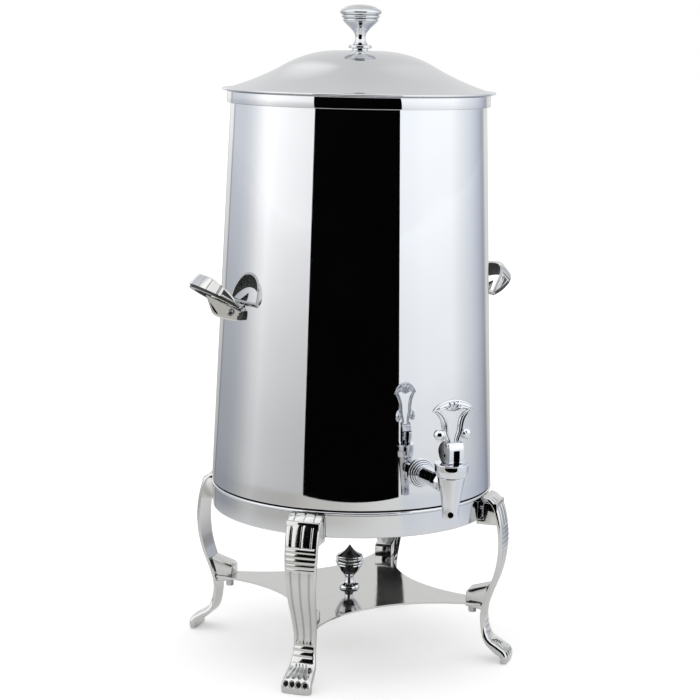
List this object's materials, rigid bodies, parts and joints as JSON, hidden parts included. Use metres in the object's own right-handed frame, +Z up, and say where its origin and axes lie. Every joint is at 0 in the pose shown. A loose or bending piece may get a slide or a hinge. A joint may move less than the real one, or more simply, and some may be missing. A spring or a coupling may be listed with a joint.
{
  "type": "coffee urn",
  "caption": "Insulated coffee urn on a legged stand, with a lift-off domed lid, side handles and a self-closing pull-forward tap.",
  "frame": {"origin": "on the floor under the middle of the urn, between the four feet", "axes": "+Z up along the urn's axis, -Y towards the tap, +X towards the right handle as seen from the tap side"},
  "size_m": [0.3884, 0.3884, 0.7116],
  "materials": {
    "shell_steel": "mirror-polished stainless sheet",
    "cast_steel": "polished cast stainless",
    "turned_steel": "polished turned stainless",
    "handle_steel": "polished cast stainless",
    "inner_steel": "satin stainless sheet",
    "fastener_steel": "satin stainless",
    "tap_chrome": "chrome plate on brass",
    "jacket_wool": "felted mineral wool",
    "white_silicone": "moulded silicone"
  },
  "bodies": {
    "stand": {"stand_ring": "cast_steel", "leg_front_right": "cast_steel", "leg_front_left": "cast_steel", "leg_back_left": "cast_steel", "leg_back_right": "cast_steel", "leg_screws": "fastener_steel", "shelf_plate": "cast_steel", "shelf_bolts": "fastener_steel", "shelf_finial": "turned_steel", "finial_screw": "fastener_steel"},
    "urn": {"outer_shell": "shell_steel", "rim_band": "shell_steel", "inner_vessel": "inner_steel", "insulation_jacket": "jacket_wool", "base_pan": "inner_steel", "handle_bracket_left": "handle_steel", "handle_bracket_right": "handle_steel", "handle_loop_left": "handle_steel", "handle_loop_right": "handle_steel", "handle_side_screws": "fastener_steel", "bracket_bolts": "fastener_steel", "tap_body": "tap_chrome", "tap_escutcheon": "tap_chrome", "outer_gasket": "white_silicone", "wall_spacer": "inner_steel", "inner_gasket": "white_silicone", "shank_locknut": "fastener_steel", "tap_bonnet": "tap_chrome", "stem_seal": "white_silicone", "return_spring": "fastener_steel"},
    "stem": {"tap_stem": "fastener_steel", "seat_cup": "white_silicone"},
    "lever": {"tap_lever": "tap_chrome", "lever_pin": "fastener_steel"},
    "lid": {"lid_shell": "shell_steel", "lid_liner": "inner_steel", "lid_knob": "turned_steel", "knob_collar": "turned_steel", "knob_screw": "fastener_steel"}
  },
  "joints": [
    {"name": "urn_lift", "type": "slide", "parent": "stand", "child": "urn", "axis": [0, 0, 1], "range_m": [0, 0.1]},
    {"name": "lid_lift", "type": "slide", "parent": "urn", "child": "lid", "axis": [0, 0, 1], "range_m": [0, 0.15]},
    {"name": "stem_lift", "type": "slide", "parent": "urn", "child": "stem", "axis": [0, 0, 1], "range_m": [0, 0.004], "deforming": ["return_spring"]},
    {"name": "lever_pull", "type": "hinge", "parent": "stem", "child": "lever", "pos_m": [0, -0.21502, 0.2613], "axis": [1, 0, 0], "range_deg": [0, 45], "stiffness_Nm_per_rad": 0.0275, "springref_deg": -67.49}
  ],
  "couplings": [
    {"joint": "stem_lift", "follows": "lever_pull", "m_per_rad": 0.0050929}
  ]
}
